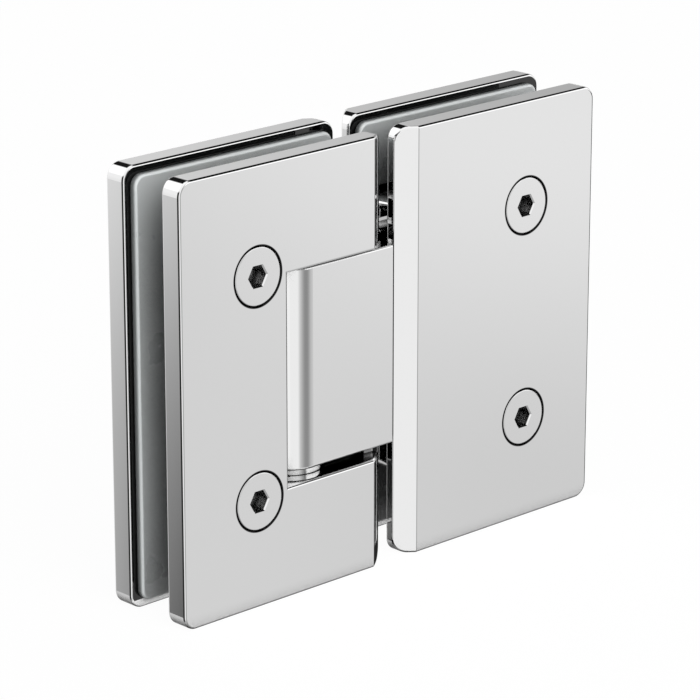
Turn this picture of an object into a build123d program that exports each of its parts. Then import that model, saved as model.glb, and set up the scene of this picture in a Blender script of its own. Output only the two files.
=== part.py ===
"""Glass door hinge for two sheets of glass in one line.

Each sheet is held between a front and a back plate. The right-hand clamp stays still and
carries the hinge body, and the left-hand clamp carries the door and turns about the pivot pin.
Millimetres. +X runs from the door clamp to the fixed clamp, -Y is the front, +Z is up.
The origin is the middle of the hinge at its bottom edge.
"""
import os

from build123d import *

# Clamp plates
plate_height = 90.0
plate_width = 55.0
plate_thickness = 5.0
clamp_gap = 4.0
corner_radius = 3.0
edge_round = 0.5
bevel_width = 4.0
bevel_edge = 2.0

# Glass and gaskets
glass_thickness = 8.0
gasket_thickness = 1.5
gasket_margin = 1.7
gasket_corner = 2.4
gasket_round = 0.7
cutout_clearance = 0.8

# Clamp screws, M6 countersunk
screw_inset = 19.8
screw_radius = 3.0
screw_head_radius = 5.85
screw_head_round = 0.2
screw_tip_chamfer = 0.5
screw_end_gap = 1.2
head_land = 0.4
socket_flats = 4.0
socket_depth = 3.0
socket_chamfer = 0.25
hole_clearance = 0.3
seat_clearance = 0.02
boss_radius = 5.7
thread_floor = 1.2

# Metal between the plates: the ears that the screws pass through, and the beam
ear_thickness = 6.6
ear_inset = 2.3
ear_corner = 2.0
beam_clearance = 0.2
beam_height = 38.0
beam_length = 16.0
lug_height = 5.6
lug_chamfer = 0.5

# Knuckle and neck of the hinge body, and the notch round them
pivot_inset = 18.0
knuckle_thickness = 15.0
knuckle_height = 41.8
knuckle_round = 0.5
shoulder_clearance = 0.1
notch_clearance = 1.1
notch_end_clearance = 2.0
carrier_wall_clearance = 0.2

# Pivot pin, bushes and thrust washers
pin_radius = 4.0
cam_step = 0.8
cam_lift = 0.7
pin_end_gap = 0.5
pin_end_chamfer = 0.5
press_clearance = 0.02
running_clearance = 0.05
bush_wall = 1.45
bush_sleeve = 5.5
bush_end_gap = 0.5
flange_inset = 0.3
washer_thickness = 1.0
recess_clearance = 0.3

# Set screws that hold the pin, M4
set_screw_radius = 2.0
set_screw_recess = 3.65
set_screw_tip = 0.6
set_screw_socket = 2.0
set_screw_socket_depth = 2.5

# Spring plungers that press on the pin's flats
spring_bore_radius = 4.5
plunger_spacing = 20.0
plunger_length = 9.0
plunger_nose_round = 0.5
spigot_clearance = 0.4
spigot_length = 3.0
wire_radius = 0.75
coil_clearance = 0.3
spring_turns = 5
wire_sides = 8
plug_length = 3.5
plug_recess = 0.5
plug_socket_depth = 2.2

# Places worked out from the sizes above
DOOR = -1
FIXED = 1
FRONT = -1
BACK = 1
mid_height = plate_height / 2
inner_y = glass_thickness / 2 + gasket_thickness
face_y = inner_y + plate_thickness
bevel_depth = plate_thickness - bevel_edge
edge_x = clamp_gap / 2
outer_x = edge_x + plate_width
screw_x = outer_x - screw_inset
screw_length = 2 * face_y - thread_floor - screw_end_gap
ear_y = ear_thickness / 2
boss_height = inner_y - ear_y
ear_inner_x = edge_x + ear_inset
ear_outer_x = screw_x + boss_radius
ear_length = ear_outer_x - ear_inner_x
ear_centre_x = (ear_outer_x + ear_inner_x) / 2
cutout_x = ear_outer_x + cutout_clearance
beam_y = inner_y - beam_clearance
beam_end_x = edge_x + beam_length
neck_end_x = edge_x - shoulder_clearance
pivot_x = -edge_x - pivot_inset
knuckle_radius = knuckle_thickness / 2
notch_depth = pivot_inset + knuckle_radius + notch_end_clearance
notch_half_height = knuckle_height / 2 + notch_clearance
carrier_wall_x = -edge_x - notch_depth - carrier_wall_clearance
bush_radius = pin_radius + running_clearance + bush_wall
flange_radius = knuckle_radius - flange_inset
flange_thickness = notch_clearance - running_clearance
recess_offset = notch_half_height + washer_thickness
ear_half_height = recess_offset + lug_height
screw_offset = ear_half_height - boss_radius
screw_heights = (mid_height - screw_offset, mid_height + screw_offset)
window_half_height = screw_offset - boss_radius
cutout_half_height = ear_half_height + cutout_clearance
pin_bottom = mid_height - ear_half_height + pin_end_gap
pin_top = mid_height + ear_half_height - pin_end_gap
pin_corner_radius = pin_radius + cam_step
pin_flats = 2 * (pin_corner_radius - cam_lift)
flats_half_height = knuckle_height / 2 - bush_sleeve - bush_end_gap
lug_centre_offset = (ear_half_height + notch_half_height) / 2
set_screw_offset = (ear_half_height + recess_offset) / 2
set_screw_x = pivot_x + pin_radius + running_clearance
set_screw_length = -ear_inner_x - set_screw_recess - set_screw_x
plunger_heights = (mid_height - plunger_spacing / 2, mid_height + plunger_spacing / 2)
plunger_radius = spring_bore_radius - running_clearance
plunger_nose_x = pivot_x + pin_corner_radius + running_clearance
plunger_back_x = plunger_nose_x + plunger_length
coil_radius = spring_bore_radius - coil_clearance - wire_radius
spigot_radius = coil_radius - wire_radius - spigot_clearance
plug_front_x = beam_end_x - plug_recess - plug_length


def cut_washer_recesses():
    """Round recesses for the thrust washers, above and below the notch."""
    for end in (-1, 1):
        recess_middle = mid_height + end * (recess_offset - washer_thickness / 2)
        with Locations((pivot_x, 0, recess_middle)):
            Cylinder(
                flange_radius + recess_clearance,
                washer_thickness,
                mode=Mode.SUBTRACT,
            )


def clamp_plate(side, face):
    """One plate: bevelled section, rounded outline, bosses round the screws."""
    with BuildPart() as plate:
        # Section seen from above, with the bevel along the inner edge
        with BuildSketch(Plane.XY):
            with BuildLine():
                Polyline(
                    (side * edge_x, face * inner_y),
                    (side * outer_x, face * inner_y),
                    (side * outer_x, face * face_y),
                    (side * (edge_x + bevel_width), face * face_y),
                    (side * edge_x, face * (face_y - bevel_depth)),
                    close=True,
                )
            make_face()
        extrude(amount=plate_height)
        # Outline seen from the front
        with BuildSketch(Plane.XZ):
            with Locations((side * (edge_x + outer_x) / 2, mid_height)):
                RectangleRounded(plate_width, plate_height, corner_radius)
            if side == DOOR:
                with Locations((-edge_x - notch_depth / 2, mid_height)):
                    Rectangle(notch_depth, 2 * notch_half_height, mode=Mode.SUBTRACT)
        extrude(amount=face_y, both=True, mode=Mode.INTERSECT)
        fillet(plate.edges().filter_by(Axis.Y, reverse=True), edge_round)
        if side == DOOR:
            cut_washer_recesses()
        # Bosses that meet the ears between the plates
        with BuildSketch(Plane.XZ.offset(-face * ear_y)):
            with Locations(*[(side * screw_x, z) for z in screw_heights]):
                Circle(boss_radius)
        extrude(amount=-face * (boss_height + edge_round))
        if face == FRONT:
            # Countersunk clearance holes, drilled from the front face
            for z in screw_heights:
                with Locations(Plane((side * screw_x, -face_y, z), z_dir=(0, -1, 0))):
                    CounterSinkHole(
                        screw_radius + hole_clearance,
                        screw_head_radius + head_land,
                        counter_sink_angle=90,
                    )
        else:
            # Blind threaded holes, drilled from the bosses
            for z in screw_heights:
                with Locations(Plane((side * screw_x, ear_y, z), z_dir=(0, -1, 0))):
                    Hole(screw_radius + seat_clearance, depth=face_y - ear_y - thread_floor)
    return plate


def gasket(side, face):
    """One sheet of soft plastic between a plate and the glass, open round the metal inside."""
    with BuildPart() as sheet:
        with BuildSketch(Plane.XZ.offset(-face * inner_y)):
            with Locations((side * (edge_x + outer_x) / 2, mid_height)):
                RectangleRounded(
                    plate_width - 2 * gasket_margin,
                    plate_height - 2 * gasket_margin,
                    gasket_corner,
                )
            with Locations((side * (cutout_x - plate_width / 2), mid_height)):
                Rectangle(plate_width, 2 * cutout_half_height, mode=Mode.SUBTRACT)
        extrude(amount=face * gasket_thickness)
        glass_side = sheet.faces().sort_by(Axis.Y)[0 if face == BACK else -1]
        fillet(glass_side.edges(), gasket_round)
    return sheet


def ear_outline(side, half_opening, wall_x):
    """C-shaped outline of the metal between the plates, open from wall_x on between its ears."""
    with Locations((side * ear_centre_x, mid_height)):
        RectangleRounded(ear_length, 2 * ear_half_height, ear_corner)
    with Locations((wall_x + ear_length / 2, mid_height)):
        Rectangle(ear_length, 2 * half_opening, mode=Mode.SUBTRACT)


# Clamp plates and gaskets
door_front_plate = clamp_plate(DOOR, FRONT)
door_back_plate = clamp_plate(DOOR, BACK)
fixed_front_plate = clamp_plate(FIXED, FRONT)
fixed_back_plate = clamp_plate(FIXED, BACK)
door_front_gasket = gasket(DOOR, FRONT)
door_back_gasket = gasket(DOOR, BACK)
fixed_front_gasket = gasket(FIXED, FRONT)
fixed_back_gasket = gasket(FIXED, BACK)

# Carrier between the door plates, with a lug above and below the knuckle for the pin's ends
with BuildPart() as door_carrier:
    with BuildSketch(Plane.XZ):
        ear_outline(DOOR, notch_half_height, carrier_wall_x)
    extrude(amount=ear_y, both=True)
    for height in (mid_height - lug_centre_offset, mid_height + lug_centre_offset):
        with Locations(((carrier_wall_x - ear_inner_x) / 2, 0, height)):
            Box(
                -ear_inner_x - carrier_wall_x,
                2 * beam_y,
                ear_half_height - notch_half_height,
            )
    chamfer(
        door_carrier.faces().sort_by(Axis.X)[-2:].edges().filter_by(Axis.Z, reverse=True),
        lug_chamfer,
    )
    cut_washer_recesses()
    with Locations((pivot_x, 0, mid_height)):
        Hole(pin_radius + press_clearance)
    with Locations(*[Plane((-screw_x, -ear_y, z), z_dir=(0, -1, 0)) for z in screw_heights]):
        Hole(screw_radius + hole_clearance, depth=2 * ear_y)
    for height in (mid_height - set_screw_offset, mid_height + set_screw_offset):
        with Locations(Plane((-ear_inner_x, 0, height), z_dir=(1, 0, 0))):
            Hole(set_screw_radius + press_clearance, depth=-ear_inner_x - pivot_x)

# Hinge body: round-ended knuckle and neck, a beam with the two spring bores, and two ears
with BuildPart() as hinge_body:
    with BuildSketch(Plane.XY.offset(mid_height - knuckle_height / 2)):
        with Locations((pivot_x, 0)):
            Circle(knuckle_radius)
        with Locations(((pivot_x + neck_end_x) / 2, 0)):
            Rectangle(neck_end_x - pivot_x, knuckle_thickness)
    extrude(amount=knuckle_height)
    rims = hinge_body.edges().filter_by(Axis.Z, reverse=True).filter_by(Axis.Y, reverse=True)
    fillet(rims, knuckle_round)
    with Locations(((beam_end_x + neck_end_x) / 2, 0, mid_height)):
        Box(beam_end_x - neck_end_x, 2 * beam_y, beam_height)
    with BuildSketch(Plane.XZ):
        ear_outline(FIXED, window_half_height, beam_end_x)
    extrude(amount=ear_y, both=True)
    with Locations((pivot_x, 0, mid_height)):
        Hole(bush_radius + press_clearance)
    for height in plunger_heights:
        with Locations(Plane((beam_end_x, 0, height), z_dir=(1, 0, 0))):
            Hole(spring_bore_radius, depth=beam_end_x - pivot_x)
    with Locations(*[Plane((screw_x, -ear_y, z), z_dir=(0, -1, 0)) for z in screw_heights]):
        Hole(screw_radius + hole_clearance, depth=2 * ear_y)

# Clamp screw: countersunk head with a hexagon socket, axis along +Y from the head
head_depth = head_land + screw_head_radius - screw_radius
with BuildPart() as clamp_screw:
    with BuildSketch(Plane.XY) as screw_section:
        with BuildLine():
            Polyline(
                (0, 0),
                (screw_head_radius, 0),
                (screw_head_radius, head_land),
                (screw_radius, head_depth),
                (screw_radius, screw_length - screw_tip_chamfer),
                (screw_radius - screw_tip_chamfer, screw_length),
                (0, screw_length),
                close=True,
            )
        make_face()
        rim = screw_section.vertices().group_by(Axis.Y)[0].sort_by(Axis.X)[-1]
        fillet(rim, screw_head_round)
    revolve(axis=Axis.Y)
    with BuildSketch(Plane.XZ):
        RegularPolygon(socket_flats / 2, 6, major_radius=False)
    extrude(amount=-socket_depth, mode=Mode.SUBTRACT)
    socket_rim = clamp_screw.faces().sort_by(Axis.Y)[0].edges().filter_by(GeomType.LINE)
    chamfer(socket_rim, socket_chamfer)


def screw_pair(side):
    """The two screws of one clamp, heads flush with the front plate."""
    with BuildPart() as pair:
        with Locations(*[(side * screw_x, -face_y, z) for z in screw_heights]):
            add(clamp_screw.part)
    return pair


door_clamp_screws = screw_pair(DOOR)
fixed_clamp_screws = screw_pair(FIXED)

# Pivot pin: two journals, and between them four flats with rounded corners
with BuildPart() as pivot_pin:
    with BuildSketch(Plane.XY.offset(pin_bottom)):
        with Locations((pivot_x, 0)):
            Circle(pin_radius)
    extrude(amount=pin_top - pin_bottom)
    chamfer(pivot_pin.edges().filter_by(GeomType.CIRCLE), pin_end_chamfer)
    with BuildSketch(Plane.XY.offset(mid_height - flats_half_height)):
        with Locations((pivot_x, 0)):
            Circle(pin_corner_radius)
            Rectangle(pin_flats, pin_flats, mode=Mode.INTERSECT)
    extrude(amount=2 * flats_half_height)

# Set screws in the carrier's lugs, their tips against the pin
with BuildPart() as set_screw:
    with BuildSketch(Plane.YZ):
        Circle(set_screw_radius)
    extrude(amount=set_screw_length)
    chamfer(set_screw.edges().sort_by(Axis.X)[0], set_screw_tip)
    with BuildSketch(Plane.YZ.offset(set_screw_length)):
        RegularPolygon(set_screw_socket / 2, 6, major_radius=False)
    extrude(amount=-set_screw_socket_depth, mode=Mode.SUBTRACT)
with BuildPart() as pin_set_screws:
    with Locations(
        (set_screw_x, 0, mid_height - set_screw_offset),
        (set_screw_x, 0, mid_height + set_screw_offset),
    ):
        add(set_screw.part)


def bush(end):
    """Flanged bush in one end of the knuckle's bore: end is -1 below and 1 above."""
    knuckle_end = mid_height + end * knuckle_height / 2
    with BuildPart() as sleeve:
        with BuildSketch(Plane.XY.offset(knuckle_end)):
            with Locations((pivot_x, 0)):
                Circle(flange_radius)
        extrude(amount=end * flange_thickness)
        with BuildSketch(Plane.XY.offset(knuckle_end)):
            with Locations((pivot_x, 0)):
                Circle(bush_radius)
        extrude(amount=-end * bush_sleeve)
        with Locations((pivot_x, 0, knuckle_end)):
            Hole(pin_radius + running_clearance)
    return sleeve


def thrust_washer(end):
    """Washer between a bush's flange and the lug beyond it."""
    with BuildPart() as washer:
        with BuildSketch(Plane.XY.offset(mid_height + end * recess_offset)):
            with Locations((pivot_x, 0)):
                Circle(flange_radius)
                Circle(pin_radius + running_clearance, mode=Mode.SUBTRACT)
        extrude(amount=-end * washer_thickness)
    return washer


def plunger(height):
    """Round plunger with a flat nose for the pin and a spigot for the spring."""
    with BuildPart() as piece:
        with BuildSketch(Plane.YZ.offset(plunger_nose_x)):
            with Locations((0, height)):
                Circle(plunger_radius)
        extrude(amount=plunger_length)
        fillet(piece.edges().sort_by(Axis.X)[0], plunger_nose_round)
        with BuildSketch(Plane.YZ.offset(plunger_back_x)):
            with Locations((0, height)):
                Circle(spigot_radius)
        extrude(amount=spigot_length)
    return piece


def spring(height):
    """Coil spring from the plunger's back to the plug."""
    coil_length = plug_front_x - plunger_back_x - 2 * wire_radius - 2 * running_clearance
    with BuildPart() as coil:
        with BuildLine() as path:
            Helix(
                pitch=coil_length / spring_turns,
                height=coil_length,
                radius=coil_radius,
                center=(plunger_back_x + wire_radius + running_clearance, 0, height),
                direction=(1, 0, 0),
            )
        # The wire's round section is drawn with flats, which keep the coil light
        with BuildSketch(Plane(origin=path.line @ 0, z_dir=path.line % 0)):
            RegularPolygon(wire_radius, wire_sides)
        sweep()
    return coil


def spring_plug(height):
    """Threaded plug that closes a spring bore, with a hexagon socket."""
    with BuildPart() as plug:
        with BuildSketch(Plane.YZ.offset(plug_front_x)):
            with Locations((0, height)):
                Circle(spring_bore_radius - press_clearance)
        extrude(amount=plug_length)
        with BuildSketch(Plane.YZ.offset(plug_front_x + plug_length)):
            with Locations((0, height)):
                RegularPolygon(socket_flats / 2, 6, major_radius=False)
        extrude(amount=-plug_socket_depth, mode=Mode.SUBTRACT)
    return plug


lower_bush = bush(-1)
upper_bush = bush(1)
lower_thrust_washer = thrust_washer(-1)
upper_thrust_washer = thrust_washer(1)
lower_plunger = plunger(plunger_heights[0])
upper_plunger = plunger(plunger_heights[1])
lower_spring = spring(plunger_heights[0])
upper_spring = spring(plunger_heights[1])
lower_spring_plug = spring_plug(plunger_heights[0])
upper_spring_plug = spring_plug(plunger_heights[1])

# One STEP file for each sub-part
pieces = {
    "door_front_plate": door_front_plate,
    "door_back_plate": door_back_plate,
    "door_front_gasket": door_front_gasket,
    "door_back_gasket": door_back_gasket,
    "door_carrier": door_carrier,
    "door_clamp_screws": door_clamp_screws,
    "pivot_pin": pivot_pin,
    "pin_set_screws": pin_set_screws,
    "lower_thrust_washer": lower_thrust_washer,
    "upper_thrust_washer": upper_thrust_washer,
    "fixed_front_plate": fixed_front_plate,
    "fixed_back_plate": fixed_back_plate,
    "fixed_front_gasket": fixed_front_gasket,
    "fixed_back_gasket": fixed_back_gasket,
    "hinge_body": hinge_body,
    "fixed_clamp_screws": fixed_clamp_screws,
    "lower_bush": lower_bush,
    "upper_bush": upper_bush,
    "lower_spring": lower_spring,
    "upper_spring": upper_spring,
    "lower_spring_plug": lower_spring_plug,
    "upper_spring_plug": upper_spring_plug,
    "lower_plunger": lower_plunger,
    "upper_plunger": upper_plunger,
}
os.makedirs("parts", exist_ok=True)
for name, piece in pieces.items():
    piece.part.label = name
    export_step(piece.part, f"parts/{name}.step")
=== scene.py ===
# %% [markdown]
# Glass door hinge: the looks
#
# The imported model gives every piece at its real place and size, in metres. This script leaves
# the metal pieces as they are and gives them their finishes, makes the soft gaskets and the
# coil springs anew as smooth surfaces, and sets up a small white studio.
# A mirror has no colour of its own, so most of the work on polished chrome is in what it reflects.

import bpy
import numpy as np
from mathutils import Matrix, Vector


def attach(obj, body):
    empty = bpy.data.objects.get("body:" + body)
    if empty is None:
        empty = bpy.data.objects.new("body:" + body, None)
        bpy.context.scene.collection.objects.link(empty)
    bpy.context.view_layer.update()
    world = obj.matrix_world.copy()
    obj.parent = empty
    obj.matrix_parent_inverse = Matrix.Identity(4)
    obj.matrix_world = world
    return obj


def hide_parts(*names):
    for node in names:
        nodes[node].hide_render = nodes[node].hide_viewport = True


MM = 0.001
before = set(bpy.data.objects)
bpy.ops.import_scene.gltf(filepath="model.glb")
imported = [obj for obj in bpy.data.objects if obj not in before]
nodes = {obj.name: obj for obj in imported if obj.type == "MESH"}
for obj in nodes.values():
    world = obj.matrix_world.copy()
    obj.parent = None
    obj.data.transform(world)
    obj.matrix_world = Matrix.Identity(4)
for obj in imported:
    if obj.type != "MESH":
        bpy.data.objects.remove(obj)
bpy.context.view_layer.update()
print("CAD nodes:", len(nodes))

# %% [markdown]
# A material is a small network of shader nodes. An input of a node takes either a constant or
# the output of another node. One helper, feed, accepts both, so that the rest of the script
# doesn't have to tell them apart.

# %% Helpers for shader nodes


def new_material(name):
    """A new node material, its tree and its Principled shader."""
    material = bpy.data.materials.new(name)
    material.use_nodes = True
    tree = material.node_tree
    return material, tree, tree.nodes["Principled BSDF"]


def feed(tree, socket, value):
    """Joins the value to the socket where it is a node's output, and sets it there otherwise."""
    if isinstance(value, bpy.types.NodeSocket):
        tree.links.new(value, socket)
    else:
        socket.default_value = value


def fill(tree, node, **inputs):
    """Feeds several inputs of a node by their names."""
    for name, value in inputs.items():
        feed(tree, node.inputs[name.replace("_", " ")], value)


def add_node(tree, kind, **settings):
    """A node of that kind. Each setting names a property of the node or one of its inputs."""
    node = tree.nodes.new(kind)
    for name, value in settings.items():
        if hasattr(node, name):
            setattr(node, name, value)
        else:
            fill(tree, node, **{name: value})
    return node


# %% [markdown]
# Finishes need some arithmetic on places and colours. Each of these helpers adds one node. A Mix
# node has separate sockets for numbers and for colours in one list, so their places in it are
# written down here once.

# %% Helpers for arithmetic in shaders
# The places of a Mix node's first value, second value and result, for each kind of value
MIX_PLACES = {"FLOAT": (2, 3, 0), "RGBA": (6, 7, 2)}


def compute(tree, operation, *values):
    """One arithmetic step."""
    node = add_node(tree, "ShaderNodeMath", operation=operation)
    for socket, value in zip(node.inputs, values):
        feed(tree, socket, value)
    return node.outputs[0]


def off(tree, value, middle):
    """How far the value is from the middle, to either side."""
    return compute(tree, "ABSOLUTE", compute(tree, "SUBTRACT", value, middle))


def between(tree, value, start, end):
    """0 where the value is at start or before it, 1 at end or past it, and eased in between.

    The end may be the smaller of the two.
    """
    node = add_node(
        tree,
        "ShaderNodeMapRange",
        interpolation_type="SMOOTHSTEP",
        Value=value,
        From_Min=start,
        From_Max=end,
    )
    return node.outputs["Result"]


def mix(tree, share, first, second, kind="RGBA"):
    """The first value where share is 0, the second where it is 1, and a blend in between."""
    node = add_node(tree, "ShaderNodeMix", data_type=kind, Factor=share)
    first_place, second_place, result_place = MIX_PLACES[kind]
    feed(tree, node.inputs[first_place], first)
    feed(tree, node.inputs[second_place], second)
    return node.outputs[result_place]


def mix_shaders(tree, share, first, second):
    """The first shader where share is 0, the second where it is 1."""
    node = add_node(tree, "ShaderNodeMixShader")
    for socket, value in zip(node.inputs, (share, first, second)):
        feed(tree, socket, value)
    return node.outputs[0]


# %% [markdown]
# Patterns are placed by Object coordinates. They are in metres and don't move with the pose, so a
# pattern stays on its piece. Noise breaks up a finish that would otherwise look computed: in the
# roughness it makes some places sharper than others, and as a bump it bends the reflections.

# %% Helpers for places, noise and bump
# Noise runs from 0 to 1, but mostly lies in this range
USUAL_NOISE = (0.3, 0.7)


def object_coordinates(tree, scale=(1, 1, 1)):
    """Object coordinates in metres, stretched by scale along each axis."""
    place = add_node(tree, "ShaderNodeTexCoord").outputs["Object"]
    return add_node(tree, "ShaderNodeMapping", Vector=place, Scale=scale).outputs["Vector"]


def separate(tree, vector):
    """The three parts x, y and z of a vector."""
    return add_node(tree, "ShaderNodeSeparateXYZ", Vector=vector).outputs


def noise(tree, vector, waves, detail=2.0):
    """A smooth noise from 0 to 1, with that many waves in a metre."""
    texture = add_node(tree, "ShaderNodeTexNoise", Vector=vector, Scale=waves, Detail=detail)
    return texture.outputs["Fac"]


def spread(tree, value, low, high):
    """Carries noise from its usual range to the range from low to high."""
    node = add_node(tree, "ShaderNodeMapRange", Value=value, To_Min=low, To_Max=high)
    fill(tree, node, From_Min=USUAL_NOISE[0], From_Max=USUAL_NOISE[1])
    return node.outputs["Result"]


def bump(tree, height, distance):
    """A bump of that height in metres, as a normal."""
    node = add_node(tree, "ShaderNodeBump", Height=height, Distance=distance, Strength=1.0)
    return node.outputs["Normal"]


# %% [markdown]
# Polished chrome is plated over polished brass. It is a nearly perfect mirror: one bright base
# colour, full metallic, and a roughness close to zero. At the bottom of narrow gaps and sockets,
# where shade falls, the shade is painted: the base colour goes dark there. Ambient occlusion finds
# them: it sends short rays from each point and tells which share of them gets away.

# %% Painted shade in the crevices
WHITE_METAL = (0.9, 0.9, 0.9, 1)
# The dark colour of painted shade, in crevices and round the screws
PAINTED_SHADE = (0.01, 0.01, 0.01, 1)
# How long the rays are, how many, and the openness at which the colour is fully painted shade and
# quite bright
CREVICE_REACH = 6 * MM
CREVICE_RAYS = 6
CREVICE_OPENNESS = (0.34, 0.47)


def crevice_shade(tree, bright, shade_colour, reach, openness):
    """The bright colour in the open, and the dark colour of painted shade deep in gaps."""
    free = add_node(
        tree, "ShaderNodeAmbientOcclusion", samples=CREVICE_RAYS, Distance=reach
    ).outputs["AO"]
    return mix(tree, between(tree, free, *openness), shade_colour, bright)


print("crevices are felt over", CREVICE_REACH / MM, "mm")

# %% [markdown]
# Round each screw the real hinge has a fine gap between the head and the countersink, and a dark
# line of shade lies in it. A groove this fine isn't worth its faces, so the shade is painted as a
# dark ring about the screw's axis. As both clamps and both screws of a clamp lie mirrored about the
# middle, one distance measures all four rings.

# %% Painted shade ring round the screws
SCREW_X, SCREW_Z, MIDDLE_Z = 37.2 * MM, 22.9 * MM, 45 * MM
RING_RADIUS = 6.08 * MM
# How far from the ring's middle line its soft edge ends, and where it starts
RING_EDGE = (0.338 * MM, 0.182 * MM)


def screw_ring_shade(tree):
    """1 on the painted shade ring round each screw of the front plates, 0 elsewhere, with a soft
    edge.

    With a = |x| - screw x and b = |z - middle| - screw z, a point is on the ring where
    |sqrt(a^2 + b^2) - ring radius| is small and y < 0.
    """
    x, y, z = separate(tree, object_coordinates(tree))
    a = compute(tree, "SUBTRACT", compute(tree, "ABSOLUTE", x), SCREW_X)
    b = compute(tree, "SUBTRACT", off(tree, z, MIDDLE_Z), SCREW_Z)
    squares = [compute(tree, "MULTIPLY", side, side) for side in (a, b)]
    from_axis = compute(tree, "SQRT", compute(tree, "ADD", *squares))
    ring = between(tree, off(tree, from_axis, RING_RADIUS), *RING_EDGE)
    return compute(tree, "MULTIPLY", ring, compute(tree, "LESS_THAN", y, 0.0))


print("rings round the screws:", 2 * RING_RADIUS / MM, "mm across")

# %% [markdown]
# The plates' inner faces lie against the gaskets and mirror the dark slot, so a narrow black strip
# shows round each gasket. That dark reflection is painted: the inner faces get a dark colour. At
# the very bottom the strip keeps the bright chrome, and it mirrors the floor.

# %% Painted dark reflection on the inner faces of the plates
# The inner faces lie 5.5 mm from the middle, and a hair more is safe against rounding
INNER_FACE_Y = 5.504 * MM
INNER_FACE_LOW = 1.8 * MM
# The dark colour of the painted reflection on the inner faces
INNER_FACE_REFLECTION_DARK = (0.06, 0.06, 0.06, 1)


def inner_face_dark_reflection(tree):
    """1 on the faces between the plates, above their lowest edge, where the dark reflection is
    painted, and 0 elsewhere.
    """
    _, y, z = separate(tree, object_coordinates(tree))
    near = compute(tree, "LESS_THAN", compute(tree, "ABSOLUTE", y), INNER_FACE_Y)
    high = compute(tree, "GREATER_THAN", z, INNER_FACE_LOW)
    return compute(tree, "MULTIPLY", near, high)


print("inner faces are dark above", INNER_FACE_LOW / MM, "mm")

# %% [markdown]
# What tells plate from a computed mirror is a very faint wave left by the buffing wheel, and small
# changes in how sharply it reflects. The wave is a thousandth of a millimetre high: a mirror shows
# even that. The screws' heads are turned, so they are flatter and a little less sharp, and their
# painted shade lies only deep in their sockets.

# %% Polished chrome for the plates, the body and the screws
BUFFING_WAVES, BUFFING_HEIGHT, SCREW_BUFFING_HEIGHT = 35.0, 0.001 * MM, 0.0002 * MM
SHARPNESS_WAVES, SHARPNESS_DETAIL = 90.0, 4.0
# The least and the greatest roughness, as parts of the mean one
CHROME_CHANGES = np.array((0.7, 1.3))
SOCKET_OPENNESS = (0.20, 0.46)


def chrome(name, roughness, wave_height, openness, painted_dark_mask=None):
    """Mirror chrome with a faint buffing wave, with painted shade in its crevices and in a ring
    round each screw, and a painted dark reflection where the mask is 1.
    """
    material, tree, shader = new_material(name)
    # Painted shade: the colour goes dark in crevices
    colour = crevice_shade(tree, WHITE_METAL, PAINTED_SHADE, CREVICE_REACH, openness)
    # Painted shade: a dark ring round each screw head
    colour = mix(tree, screw_ring_shade(tree), colour, PAINTED_SHADE)
    # Painted dark reflection on the inner faces, where the mask is 1
    if painted_dark_mask:
        colour = mix(tree, painted_dark_mask(tree), colour, INNER_FACE_REFLECTION_DARK)
    place = object_coordinates(tree)
    sharpness = noise(tree, place, SHARPNESS_WAVES, SHARPNESS_DETAIL)
    sharpness = spread(tree, sharpness, *roughness * CHROME_CHANGES)
    wave = bump(tree, noise(tree, place, BUFFING_WAVES), wave_height)
    fill(tree, shader, Base_Color=colour, Metallic=1.0, Roughness=sharpness, Normal=wave)
    return material


polished_plate = chrome(
    "polished_plate_chrome", 0.03, BUFFING_HEIGHT, CREVICE_OPENNESS, painted_dark_mask=inner_face_dark_reflection
)
body_chrome = chrome("polished_body_chrome", 0.03, BUFFING_HEIGHT, CREVICE_OPENNESS)
screw_chrome = chrome("screw_chrome", 0.05, SCREW_BUFFING_HEIGHT, SOCKET_OPENNESS)
print("chrome:", polished_plate.name, body_chrome.name, screw_chrome.name)

# %% [markdown]
# Turned steel, as on the pin and the plungers, keeps the fine rings of the lathe. Drawing them one
# by one would flicker, so fine noise stands in for them. It is packed tightly along the piece's
# axis and drawn out across it, which gives short streaks round the piece, in roughness and bump.

# %% Turned steel for the inner pieces
STEEL = (0.56, 0.56, 0.57, 1)
BUSH_METAL = (0.8, 0.8, 0.8, 1)
MARK_WAVES, MARK_DETAIL, MARK_HEIGHT = 1000.0, 3.0, 0.003 * MM
STEEL_CHANGES = np.array((0.7, 1.4))


def turned_steel(name, base, roughness, stretch):
    """Steel with fine tool marks: noise that is stretched by the axis scales in stretch, and
    painted shade in its crevices.
    """
    material, tree, shader = new_material(name)
    # Painted shade: the colour goes dark in crevices
    colour = crevice_shade(tree, base, PAINTED_SHADE, CREVICE_REACH, CREVICE_OPENNESS)
    marks = noise(tree, object_coordinates(tree, stretch), MARK_WAVES, MARK_DETAIL)
    dullness = spread(tree, marks, *roughness * STEEL_CHANGES)
    rings = bump(tree, marks, MARK_HEIGHT)
    fill(tree, shader, Base_Color=colour, Metallic=1.0, Roughness=dullness, Normal=rings)
    return material


pin_steel = turned_steel("pin_turned_steel", STEEL, 0.22, stretch=(0.3, 0.3, 6.0))
plunger_steel = turned_steel("plunger_turned_steel", STEEL, 0.22, stretch=(6.0, 0.3, 0.3))
spring_steel = turned_steel("spring_drawn_steel", STEEL, 0.28, stretch=(1.0, 1.0, 1.0))
bush_metal = turned_steel("bush_polished_steel", BUSH_METAL, 0.08, stretch=(0.3, 0.3, 4.0))
print("steel:", pin_steel.name, plunger_steel.name, spring_steel.name, bush_metal.name)

# %% [markdown]
# The gaskets are sheets of soft clear plastic that has gone grey. A painted highlight makes their
# rim pale where it turns over to the flat, and painted shade makes its side, which faces the
# plate's inner face, dark. The colours change over short distances from the middle of the slot, so
# that no edge looks sharp.

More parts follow.
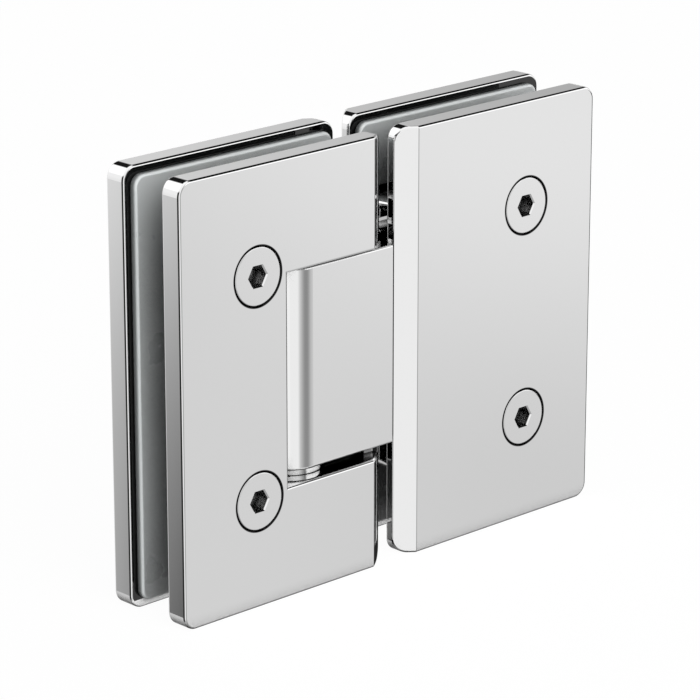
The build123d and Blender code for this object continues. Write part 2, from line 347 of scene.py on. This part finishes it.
# %% Colours of the gaskets, with painted highlight and shade
GASKET_GREY = (0.42, 0.435, 0.435, 1)
GASKET_RIM_HIGHLIGHT = (0.56, 0.58, 0.58, 1)
GASKET_SIDE_SHADE = (0.19, 0.20, 0.20, 1)
# Distances from the middle of the slot over which one colour gives way to the next
FLAT_TO_RIM = (4.005 * MM, 4.03 * MM)
RIM_TO_SIDE = (4.10 * MM, 4.65 * MM)


def rim_highlight_and_shade(tree):
    """Grey on the flat, a pale painted highlight where the rim turns over, and painted shade down
    its side.

    The flat lies 4 mm from the middle of the slot, the rim from there to 4.7 mm, and the side
    beyond. The distance |y| alone tells them apart.
    """
    _, y, _ = separate(tree, object_coordinates(tree))
    depth = compute(tree, "ABSOLUTE", y)
    # Painted highlight on the rim, and painted shade down its side
    pale = mix(tree, between(tree, depth, *FLAT_TO_RIM), GASKET_GREY, GASKET_RIM_HIGHLIGHT)
    return mix(tree, between(tree, depth, *RIM_TO_SIDE), pale, GASKET_SIDE_SHADE)


print("gasket's rim ends", RIM_TO_SIDE[1] / MM, "mm from the middle of the slot")

# %% [markdown]
# In soft plastic light enters a little way and scatters, and the skin has a soft sheen. Subsurface
# scattering with a short radius does this. Deep in a slot the gaskets are darkened with painted
# shade, and ambient occlusion with long rays sets where it lies.

# %% Soft plastic for the gaskets
GASKET_SLOT_SHADE = (0.02, 0.02, 0.02, 1)
SLOT_REACH = 25 * MM
SLOT_OPENNESS = (0.05, 0.42)
SCATTER_SHARE, SCATTER_DEPTH = 0.3, 0.8 * MM
SHEEN_WAVES, SHEEN_DETAIL, SHEEN_ROUGHNESS = 120.0, 3.0, (0.26, 0.36)
GRAIN_WAVES, GRAIN_HEIGHT = 2500.0, 0.004 * MM


def soft_plastic(name):
    """Satin translucent plastic with a fine moulded grain, painted shade deep in the slot, and the
    painted highlight and shade of the rim.
    """
    material, tree, shader = new_material(name)
    # Painted shade deep in the slot, over the painted highlight and shade of the rim
    grey = crevice_shade(tree, rim_highlight_and_shade(tree), GASKET_SLOT_SHADE, SLOT_REACH, SLOT_OPENNESS)
    place = object_coordinates(tree)
    sheen = spread(tree, noise(tree, place, SHEEN_WAVES, SHEEN_DETAIL), *SHEEN_ROUGHNESS)
    grain = bump(tree, noise(tree, place, GRAIN_WAVES), GRAIN_HEIGHT)
    fill(tree, shader, Base_Color=grey, IOR=1.5, Roughness=sheen, Normal=grain)
    fill(tree, shader, Subsurface_Weight=SCATTER_SHARE, Subsurface_Scale=SCATTER_DEPTH)
    fill(tree, shader, Subsurface_Radius=(1.0, 1.0, 1.0))
    return material


gasket_plastic = soft_plastic("gasket_soft_plastic")
print("plastic:", gasket_plastic.name)

# %% [markdown]
# The new pieces are surfaces worked out as whole arrays. Each is a stack of closed rings of points:
# a ring for each step along the surface, quads from ring to ring, and a flat face on both ends.
# The same helper then serves a gasket, whose rings are outlines, and a spring, whose rings are
# sections of the wire.

# %% Helper for closed surfaces


def grid_faces(rings, count):
    """Quads between closed rings of count points each, as rows of four numbers."""
    ring, step = np.meshgrid(np.arange(rings - 1), np.arange(count), indexing="ij")
    following = (step + 1) % count
    corners = (
        ring * count + step,
        ring * count + following,
        (ring + 1) * count + following,
        (ring + 1) * count + step,
    )
    return np.stack(corners, -1).reshape(-1, 4)


def closed_piece(name, rings, flip=False):
    """A mesh from an array of closed rings, with a flat face on the first and the last ring."""
    layers, count, _ = rings.shape
    first, last = np.arange(count)[::-1], np.arange(count) + (layers - 1) * count
    faces = [*grid_faces(layers, count).tolist(), first.tolist(), last.tolist()]
    if flip:
        faces = [face[::-1] for face in faces]
    mesh = bpy.data.meshes.new(name)
    mesh.from_pydata(rings.reshape(-1, 3).tolist(), [], faces)
    smooth = np.ones(len(faces), bool)
    smooth[-2:] = False
    mesh.polygons.foreach_set("use_smooth", smooth)
    mesh.update()
    piece = bpy.data.objects.new(name, mesh)
    bpy.context.scene.collection.objects.link(piece)
    return piece


# %% [markdown]
# The real gaskets are punched from sheet and moulded with a soft rounded rim. A rim like this is
# one small profile carried round an outline: it rises from the plate, turns over in a quarter
# circle, and ends in the flat face. Each ring of the surface is the outline moved inward by some
# distance and raised by some height, which keeps the rim even all round the C shape.

# %% Outline of a gasket
# Corners in the plane of the sheet: x, z and the radius, in millimetres
GASKET_CORNERS = [
    (3.7, 1.7, 2.4),
    (55.3, 1.7, 2.4),
    (55.3, 88.3, 2.4),
    (3.7, 88.3, 2.4),
    (3.7, 74.4, 0.8),
    (43.7, 74.4, 0.8),
    (43.7, 15.6, 0.8),
    (3.7, 15.6, 0.8),
]
ARC_STEPS = 13


def rounded_outline(corners, radii, arc_steps):
    """Points and inward normals round a polygon with rounded corners, taken anticlockwise.

    At a corner P between unit directions a, before, and b, after, with half turn h, the arc of
    radius r starts at P - a r tan(h) and has its centre at r to the left of that. Its points are
    centre - r n(t), where the inward normal n turns from left(a) to left(b).
    """
    points, normals = [], []
    before, after = np.roll(corners, 1, 0), np.roll(corners, -1, 0)
    for corner, last, following, radius in zip(corners, before, after, radii):
        a = (corner - last) / np.linalg.norm(corner - last)
        b = (following - corner) / np.linalg.norm(following - corner)
        turn = np.arctan2(a[0] * b[1] - a[1] * b[0], a @ b)
        left = np.array([-a[1], a[0]])
        side = np.sign(turn)
        centre = corner - a * radius * np.tan(abs(turn) / 2) + side * left * radius
        angle = np.linspace(0, turn, arc_steps)[:, None]
        normal = left * np.cos(angle) - a * np.sin(angle)
        points.append(centre - side * radius * normal)
        normals.append(normal)
    return np.concatenate(points), np.concatenate(normals)


outline = np.array(GASKET_CORNERS) * MM
gasket_points, gasket_normals = rounded_outline(outline[:, :2], outline[:, 2], ARC_STEPS)
print("points round a gasket:", len(gasket_points))

# %% Gaskets
PLATE_INNER_Y = 5.5 * MM
GASKET_THICKNESS = 1.5 * MM
RIM_RADIUS = 0.7 * MM
RIM_STEPS = 9
FOOT_CHAMFER = 0.1 * MM


def gasket(name, side, face, body):
    """One gasket: rings of the outline, moved in by a and raised by h along the rim's profile.

    The profile is a straight side up to thickness - r, then the quarter circle
    a = r (1 - cos t), h = thickness - r + r sin t. Its foot has a small chamfer.
    """
    angle = np.radians(np.linspace(0, 90, RIM_STEPS))
    inward = np.concatenate([[FOOT_CHAMFER, 0.0], RIM_RADIUS * (1 - np.cos(angle))])
    side_height = GASKET_THICKNESS - RIM_RADIUS
    height = np.concatenate([[0.0, FOOT_CHAMFER], side_height + RIM_RADIUS * np.sin(angle)])
    flat = gasket_points[None] + inward[:, None, None] * gasket_normals[None]
    y = np.broadcast_to(height[:, None], flat.shape[:2])
    rings = np.stack([side * flat[..., 0], face * (PLATE_INNER_Y - y), flat[..., 1]], -1)
    piece = closed_piece(name + "_moulded", rings, flip=side * face < 0)
    piece.data.materials.append(gasket_plastic)
    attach(piece, body)
    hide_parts(name)
    return piece


gaskets = [
    gasket("door_front_gasket", -1, -1, "door_clamp"),
    gasket("door_back_gasket", -1, 1, "door_clamp"),
    gasket("fixed_front_gasket", 1, -1, "fixed_clamp"),
    gasket("fixed_back_gasket", 1, 1, "fixed_clamp"),
]
print("gaskets:", [len(piece.data.vertices) for piece in gaskets])

# %% [markdown]
# A compression spring is drawn wire, wound cold. Its ends are wound close, so that it stands
# square on the plunger and on the plug, and only the turns in between are open. So the pitch
# isn't even along the wire: it is little more than the wire's width at the ends, and wide in
# the middle.

# %% Springs
WIRE_RADIUS = 0.75 * MM
COIL_RADIUS = 3.45 * MM
COIL_START, COIL_END = -5.35 * MM, 13.2 * MM
CLOSED_PITCH = 2.1 * WIRE_RADIUS
END_TURNS, OPEN_TURNS = 0.75, 4.5
# Turns over which the pitch opens
OPENING_TURNS = 0.5
WIRE_STEPS, SECTION_STEPS = 280, 14
SPRING_HEIGHTS = {"lower_spring": 35 * MM, "upper_spring": 55 * MM}


def coil_places(turns):
    """x along the spring for each number of turns: the sum of the pitch over the turns.

    The pitch goes from the closed one to the open one and back, over the opening turns.
    """
    from_start, from_end = turns - END_TURNS, turns[-1] - END_TURNS - turns
    rise = np.clip(from_start / OPENING_TURNS, 0, 1) * np.clip(from_end / OPENING_TURNS, 0, 1)
    share = np.concatenate([[0.0], np.cumsum((rise[1:] + rise[:-1]) / 2 * np.diff(turns))])
    spare = COIL_END - COIL_START - CLOSED_PITCH * turns[-1]
    return COIL_START + CLOSED_PITCH * turns + spare * share / share[-1]


def spring(name, height):
    """A tube round a helix along X with closed ends.

    The wire's middle is (x, R cos a, R sin a). The section is the circle w (e cos s + b sin s)
    of the outward direction e and the binormal b.
    """
    turns = np.linspace(0, 2 * END_TURNS + OPEN_TURNS, WIRE_STEPS)
    x = coil_places(turns)
    angle = 2 * np.pi * turns
    outward = np.stack([0 * angle, np.cos(angle), np.sin(angle)], -1)
    middle = COIL_RADIUS * outward + np.stack([x, 0 * x, 0 * x + height], -1)
    along = np.gradient(middle, axis=0)
    along /= np.linalg.norm(along, axis=1, keepdims=True)
    binormal = np.cross(along, outward)
    section = np.linspace(0, 2 * np.pi, SECTION_STEPS, endpoint=False)[None, :, None]
    rings = middle[:, None] + WIRE_RADIUS * (
        np.cos(section) * outward[:, None] + np.sin(section) * binormal[:, None]
    )
    piece = closed_piece(name + "_coil", rings)
    piece.data.materials.append(spring_steel)
    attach(piece, "fixed_clamp")
    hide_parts(name)
    return piece


springs = [spring(name, height) for name, height in SPRING_HEIGHTS.items()]
print("springs:", [len(piece.data.vertices) for piece in springs])

# %% [markdown]
# Each CAD node keeps its mesh and its place, and only its material changes. The nodes that a new
# piece replaces get the same finish as that piece, so that they look right by themselves too.

# %% Put the finishes on the nodes
finishes = {
    polished_plate: [
        "door_front_plate",
        "door_back_plate",
        "fixed_front_plate",
        "fixed_back_plate",
    ],
    body_chrome: ["door_carrier", "hinge_body"],
    screw_chrome: ["door_clamp_screws", "fixed_clamp_screws"],
    bush_metal: ["lower_bush", "upper_bush", "lower_thrust_washer", "upper_thrust_washer"],
    pin_steel: ["pivot_pin"],
    plunger_steel: [
        "lower_plunger",
        "upper_plunger",
        "lower_spring_plug",
        "upper_spring_plug",
        "pin_set_screws",
    ],
    spring_steel: ["lower_spring", "upper_spring"],
    gasket_plastic: [
        "door_front_gasket",
        "door_back_gasket",
        "fixed_front_gasket",
        "fixed_back_gasket",
    ],
}
for material, names in finishes.items():
    for name in names:
        for material_slot in nodes[name].material_slots:
            material_slot.material = material
print("finishes:", {material.name: len(names) for material, names in finishes.items()})

# %% [markdown]
# The studio. What polished chrome mirrors could be built from real cards round the object. Here
# it is drawn in the world shader instead, by azimuth and elevation in degrees, because that is
# quicker to render and each card's edge can be as soft as it needs. Azimuth 0 is to the right of
# the hinge, 90 behind it, 180 to its left and 270 in front.

# %% World: the direction of a ray
WHITE = (1, 1, 1, 1)

world = bpy.data.worlds.new("studio")
bpy.context.scene.world = world
world.use_nodes = True
sky = world.node_tree
sky.nodes.clear()

towards = add_node(sky, "ShaderNodeTexCoord").outputs["Generated"]
x, y, z = separate(sky, towards)
azimuth = compute(sky, "DEGREES", compute(sky, "ARCTAN2", y, x))
rise = compute(sky, "MAXIMUM", compute(sky, "MINIMUM", z, 1.0), -1.0)
elevation = compute(sky, "DEGREES", compute(sky, "ARCSINE", rise))


def off_azimuth(middle):
    """Degrees between the ray's azimuth and the middle, to either side."""
    turn = compute(sky, "WRAP", compute(sky, "SUBTRACT", azimuth, middle), 180.0, -180.0)
    return compute(sky, "ABSOLUTE", turn)


print("world:", world.name)

# %% [markdown]
# The bare room is white above and falls off below the horizon. Mirror rays go through the floor,
# so the room under the floor is drawn as well, and the upright faces mirror that part: seen from
# 18 degrees above, they reflect rays that come from 18 degrees below.

# %% World: the bare room
# Brightness of the bare room at each elevation
ROOM = [
    (-90, 0.20),
    (-45, 0.45),
    (-24, 0.635),
    (-20, 0.665),
    (-14, 0.855),
    (5, 0.95),
    (90, 1.05),
]

light = ROOM[0][1]
for (low, _), (high, brightness) in zip(ROOM, ROOM[1:]):
    light = mix(sky, between(sky, elevation, low, high), light, brightness, "FLOAT")
print("steps in the bare room:", len(ROOM))

# %% [markdown]
# Cards give the chrome its contrast. From the camera the front faces mirror the room near azimuth
# 314, the left sides near 134 and the top faces near 46, above the horizon, and the round end of
# the knuckle sweeps from 134 to 314. A card at such a place darkens or lights just those faces.

# %% World: the cards
# Each card: azimuth, half width, its soft edge, elevation, half height, its soft edge, brightness
CARDS = [
    (302, 7, 8, -24, 5.5, 7, 0.76),
    (246, 12, 10, -15, 15, 8, 0.92),
    (287, 2, 27, -10, 30, 20, 0.28),
    (228, 5, 4, -16, 14, 8, 0.97),
    (179, 36, 6, -10, 30, 12, 0.02),
    (146, 14.5, 3.5, -34, 10, 14, 0.05),
    (10, 45, 6, -16, 10, 5, 0.02),
    (30, 4, 28, 14, 8, 8, 0.30),
    (43, 38, 6, 36, 10, 6, 0.01),
    (358, 38, 6, 46, 12, 6, 0.01),
    (120, 28, 8, 34, 12, 8, 1.20),
    (316, 24, 8, 14, 10, 6, 1.25),
]


def card(middle_across, half_width, side_edge, middle_up, half_height, end_edge):
    """1 on the card and 0 off it, eased over its edges."""
    across, up = off_azimuth(middle_across), off(sky, elevation, middle_up)
    return compute(
        sky,
        "MULTIPLY",
        between(sky, across, half_width + side_edge, half_width),
        between(sky, up, half_height + end_edge, half_height),
    )


for *shape, brightness in CARDS:
    light = mix(sky, card(*shape), light, brightness, "FLOAT")
print("cards in the room:", len(CARDS))

# %% [markdown]
# The gaskets are no mirrors: they gather light from all sides, and in the photograph most of it
# comes from the front left. So a ray that has already been scattered sees another, plainer room,
# which is bright there and dim elsewhere. The camera itself sees only plain white.

# %% World: light for the soft pieces, and the white backdrop
FRONT_AZIMUTH = 254.0
# Degrees to either side at which the front light has ended, and where it starts to fade
FRONT_EDGE = (55.0, 15.0)
FRONT_BRIGHTNESS = 3.2
BACK_BRIGHTNESS = 0.15

front = between(sky, off_azimuth(FRONT_AZIMUTH), *FRONT_EDGE)
front_light = mix(sky, front, BACK_BRIGHTNESS, FRONT_BRIGHTNESS, "FLOAT")
rays = add_node(sky, "ShaderNodeLightPath").outputs
gathered = compute(sky, "MINIMUM", rays["Diffuse Depth"], 1.0)
room_light = mix(sky, gathered, light, front_light, "FLOAT")
room = add_node(sky, "ShaderNodeBackground", Color=room_light).outputs[0]
backdrop = add_node(sky, "ShaderNodeBackground", Color=WHITE).outputs[0]
seen = mix_shaders(sky, rays["Is Camera Ray"], room, backdrop)
add_node(sky, "ShaderNodeOutputWorld", Surface=seen)
print("nodes in the world:", len(sky.nodes))

# %% [markdown]
# The floor is a plain white square, so large that its far edge melts into the white backdrop.
# Most of its colour is its own light, and the little that is left keeps a soft contact shadow.

# %% Floor
FLOOR_SIZE = 6.0
FLOOR_WHITE = (0.9, 0.9, 0.9, 1)
FLOOR_GLOW = 0.97

corner = FLOOR_SIZE / 2
floor_mesh = bpy.data.meshes.new("studio_floor")
floor_mesh.from_pydata(
    [(-corner, -corner, 0), (corner, -corner, 0), (corner, corner, 0), (-corner, corner, 0)],
    [],
    [(0, 1, 2, 3)],
)
floor = bpy.data.objects.new("studio_floor", floor_mesh)
bpy.context.scene.collection.objects.link(floor)

floor_white, floor_tree, floor_shader = new_material("floor_white")
fill(floor_tree, floor_shader, Base_Color=FLOOR_WHITE, Roughness=1.0, Specular_IOR_Level=0.0)
glow = add_node(floor_tree, "ShaderNodeEmission", Color=WHITE).outputs[0]
paint = mix_shaders(floor_tree, FLOOR_GLOW, floor_shader.outputs[0], glow)
floor.data.materials.append(floor_white)
print("floor:", FLOOR_SIZE, "m wide")

# %% [markdown]
# Mirror rays pass through the floor to the room drawn in the world, except at two spots between
# the plates, which the slots' lowest strips mirror. Only rays that start close to a spot see it:
# without that limit, a door swung to the side mirrors the spot as a streak across its plate.

# %% Spots of the floor that the chrome mirrors
# The middle and the half width of each spot in x, and of both in y
DOOR_SPOT_X = (-49.5 * MM, 8 * MM)
GAP_SPOT_X = (13.75 * MM, 3.25 * MM)
SPOT_Y = (3.6 * MM, 1.9 * MM)
# How far a ray may come from
SPOT_REACH = 8 * MM


def within(value, middle, half_width):
    """1 where a coordinate of the floor is within the half width of the middle, 0 elsewhere."""
    return compute(floor_tree, "LESS_THAN", off(floor_tree, value, middle), half_width)


floor_x, floor_y, _ = separate(floor_tree, object_coordinates(floor_tree))
floor_rays = add_node(floor_tree, "ShaderNodeLightPath").outputs
in_x = [within(floor_x, *DOOR_SPOT_X), within(floor_x, *GAP_SPOT_X)]
spot = compute(floor_tree, "MAXIMUM", *in_x)
started_near = compute(floor_tree, "LESS_THAN", floor_rays["Ray Length"], SPOT_REACH)
for condition in (within(floor_y, *SPOT_Y), started_near):
    spot = compute(floor_tree, "MULTIPLY", spot, condition)
passing = compute(floor_tree, "SUBTRACT", floor_rays["Is Glossy Ray"], spot)
passing = compute(floor_tree, "MAXIMUM", passing, 0.0)
clear = add_node(floor_tree, "ShaderNodeBsdfTransparent").outputs[0]
surface = mix_shaders(floor_tree, passing, paint, clear)
fill(floor_tree, floor_tree.nodes["Material Output"], Surface=surface)
print("mirrored spots:", len(in_x))

# %% [markdown]
# One wide soft lamp above the front, a little to the left, gives the soft pieces a direction of
# light. It is hidden from mirror rays, because the chrome already has its room.

# %% Lamp
LAMP_SIZE, LAMP_POWER = 0.8, 3.0
LAMP_PLACE = (-0.4, -0.9, 0.6)
HINGE_MIDDLE = Vector((0, 0, MIDDLE_Z))

lamp_data = bpy.data.lights.new("soft_lamp", "AREA")
lamp_data.size = LAMP_SIZE
lamp_data.energy = LAMP_POWER
lamp = bpy.data.objects.new("soft_lamp", lamp_data)
bpy.context.scene.collection.objects.link(lamp)
lamp.location = LAMP_PLACE
lamp.rotation_euler = (HINGE_MIDDLE - lamp.location).to_track_quat("-Z", "Y").to_euler()
lamp.visible_glossy = False
print("lamp:", LAMP_POWER, "W,", LAMP_SIZE, "m wide")

# %% [markdown]
# The camera was solved from the straight edges of the plates: it stands to the front left,
# 18 degrees above the hinge, with a long lens. The Standard view shows colours as they are
# written.

# %% Camera
SENSOR_WIDTH, LENS = 36.0, 184.055
CAMERA_PLACE = (-0.4786, -0.4977, 0.2626)
CAMERA_TURN = (72.323, 0.0, -43.711)

camera_data = bpy.data.cameras.new("camera")
camera_data.sensor_width = SENSOR_WIDTH
camera_data.lens = LENS
camera = bpy.data.objects.new("camera", camera_data)
bpy.context.scene.collection.objects.link(camera)
camera.location = CAMERA_PLACE
camera.rotation_euler = np.radians(CAMERA_TURN)
bpy.context.scene.camera = camera
bpy.context.scene.view_settings.view_transform = "Standard"
print("camera:", round((camera.location - HINGE_MIDDLE).length, 3), "m away")
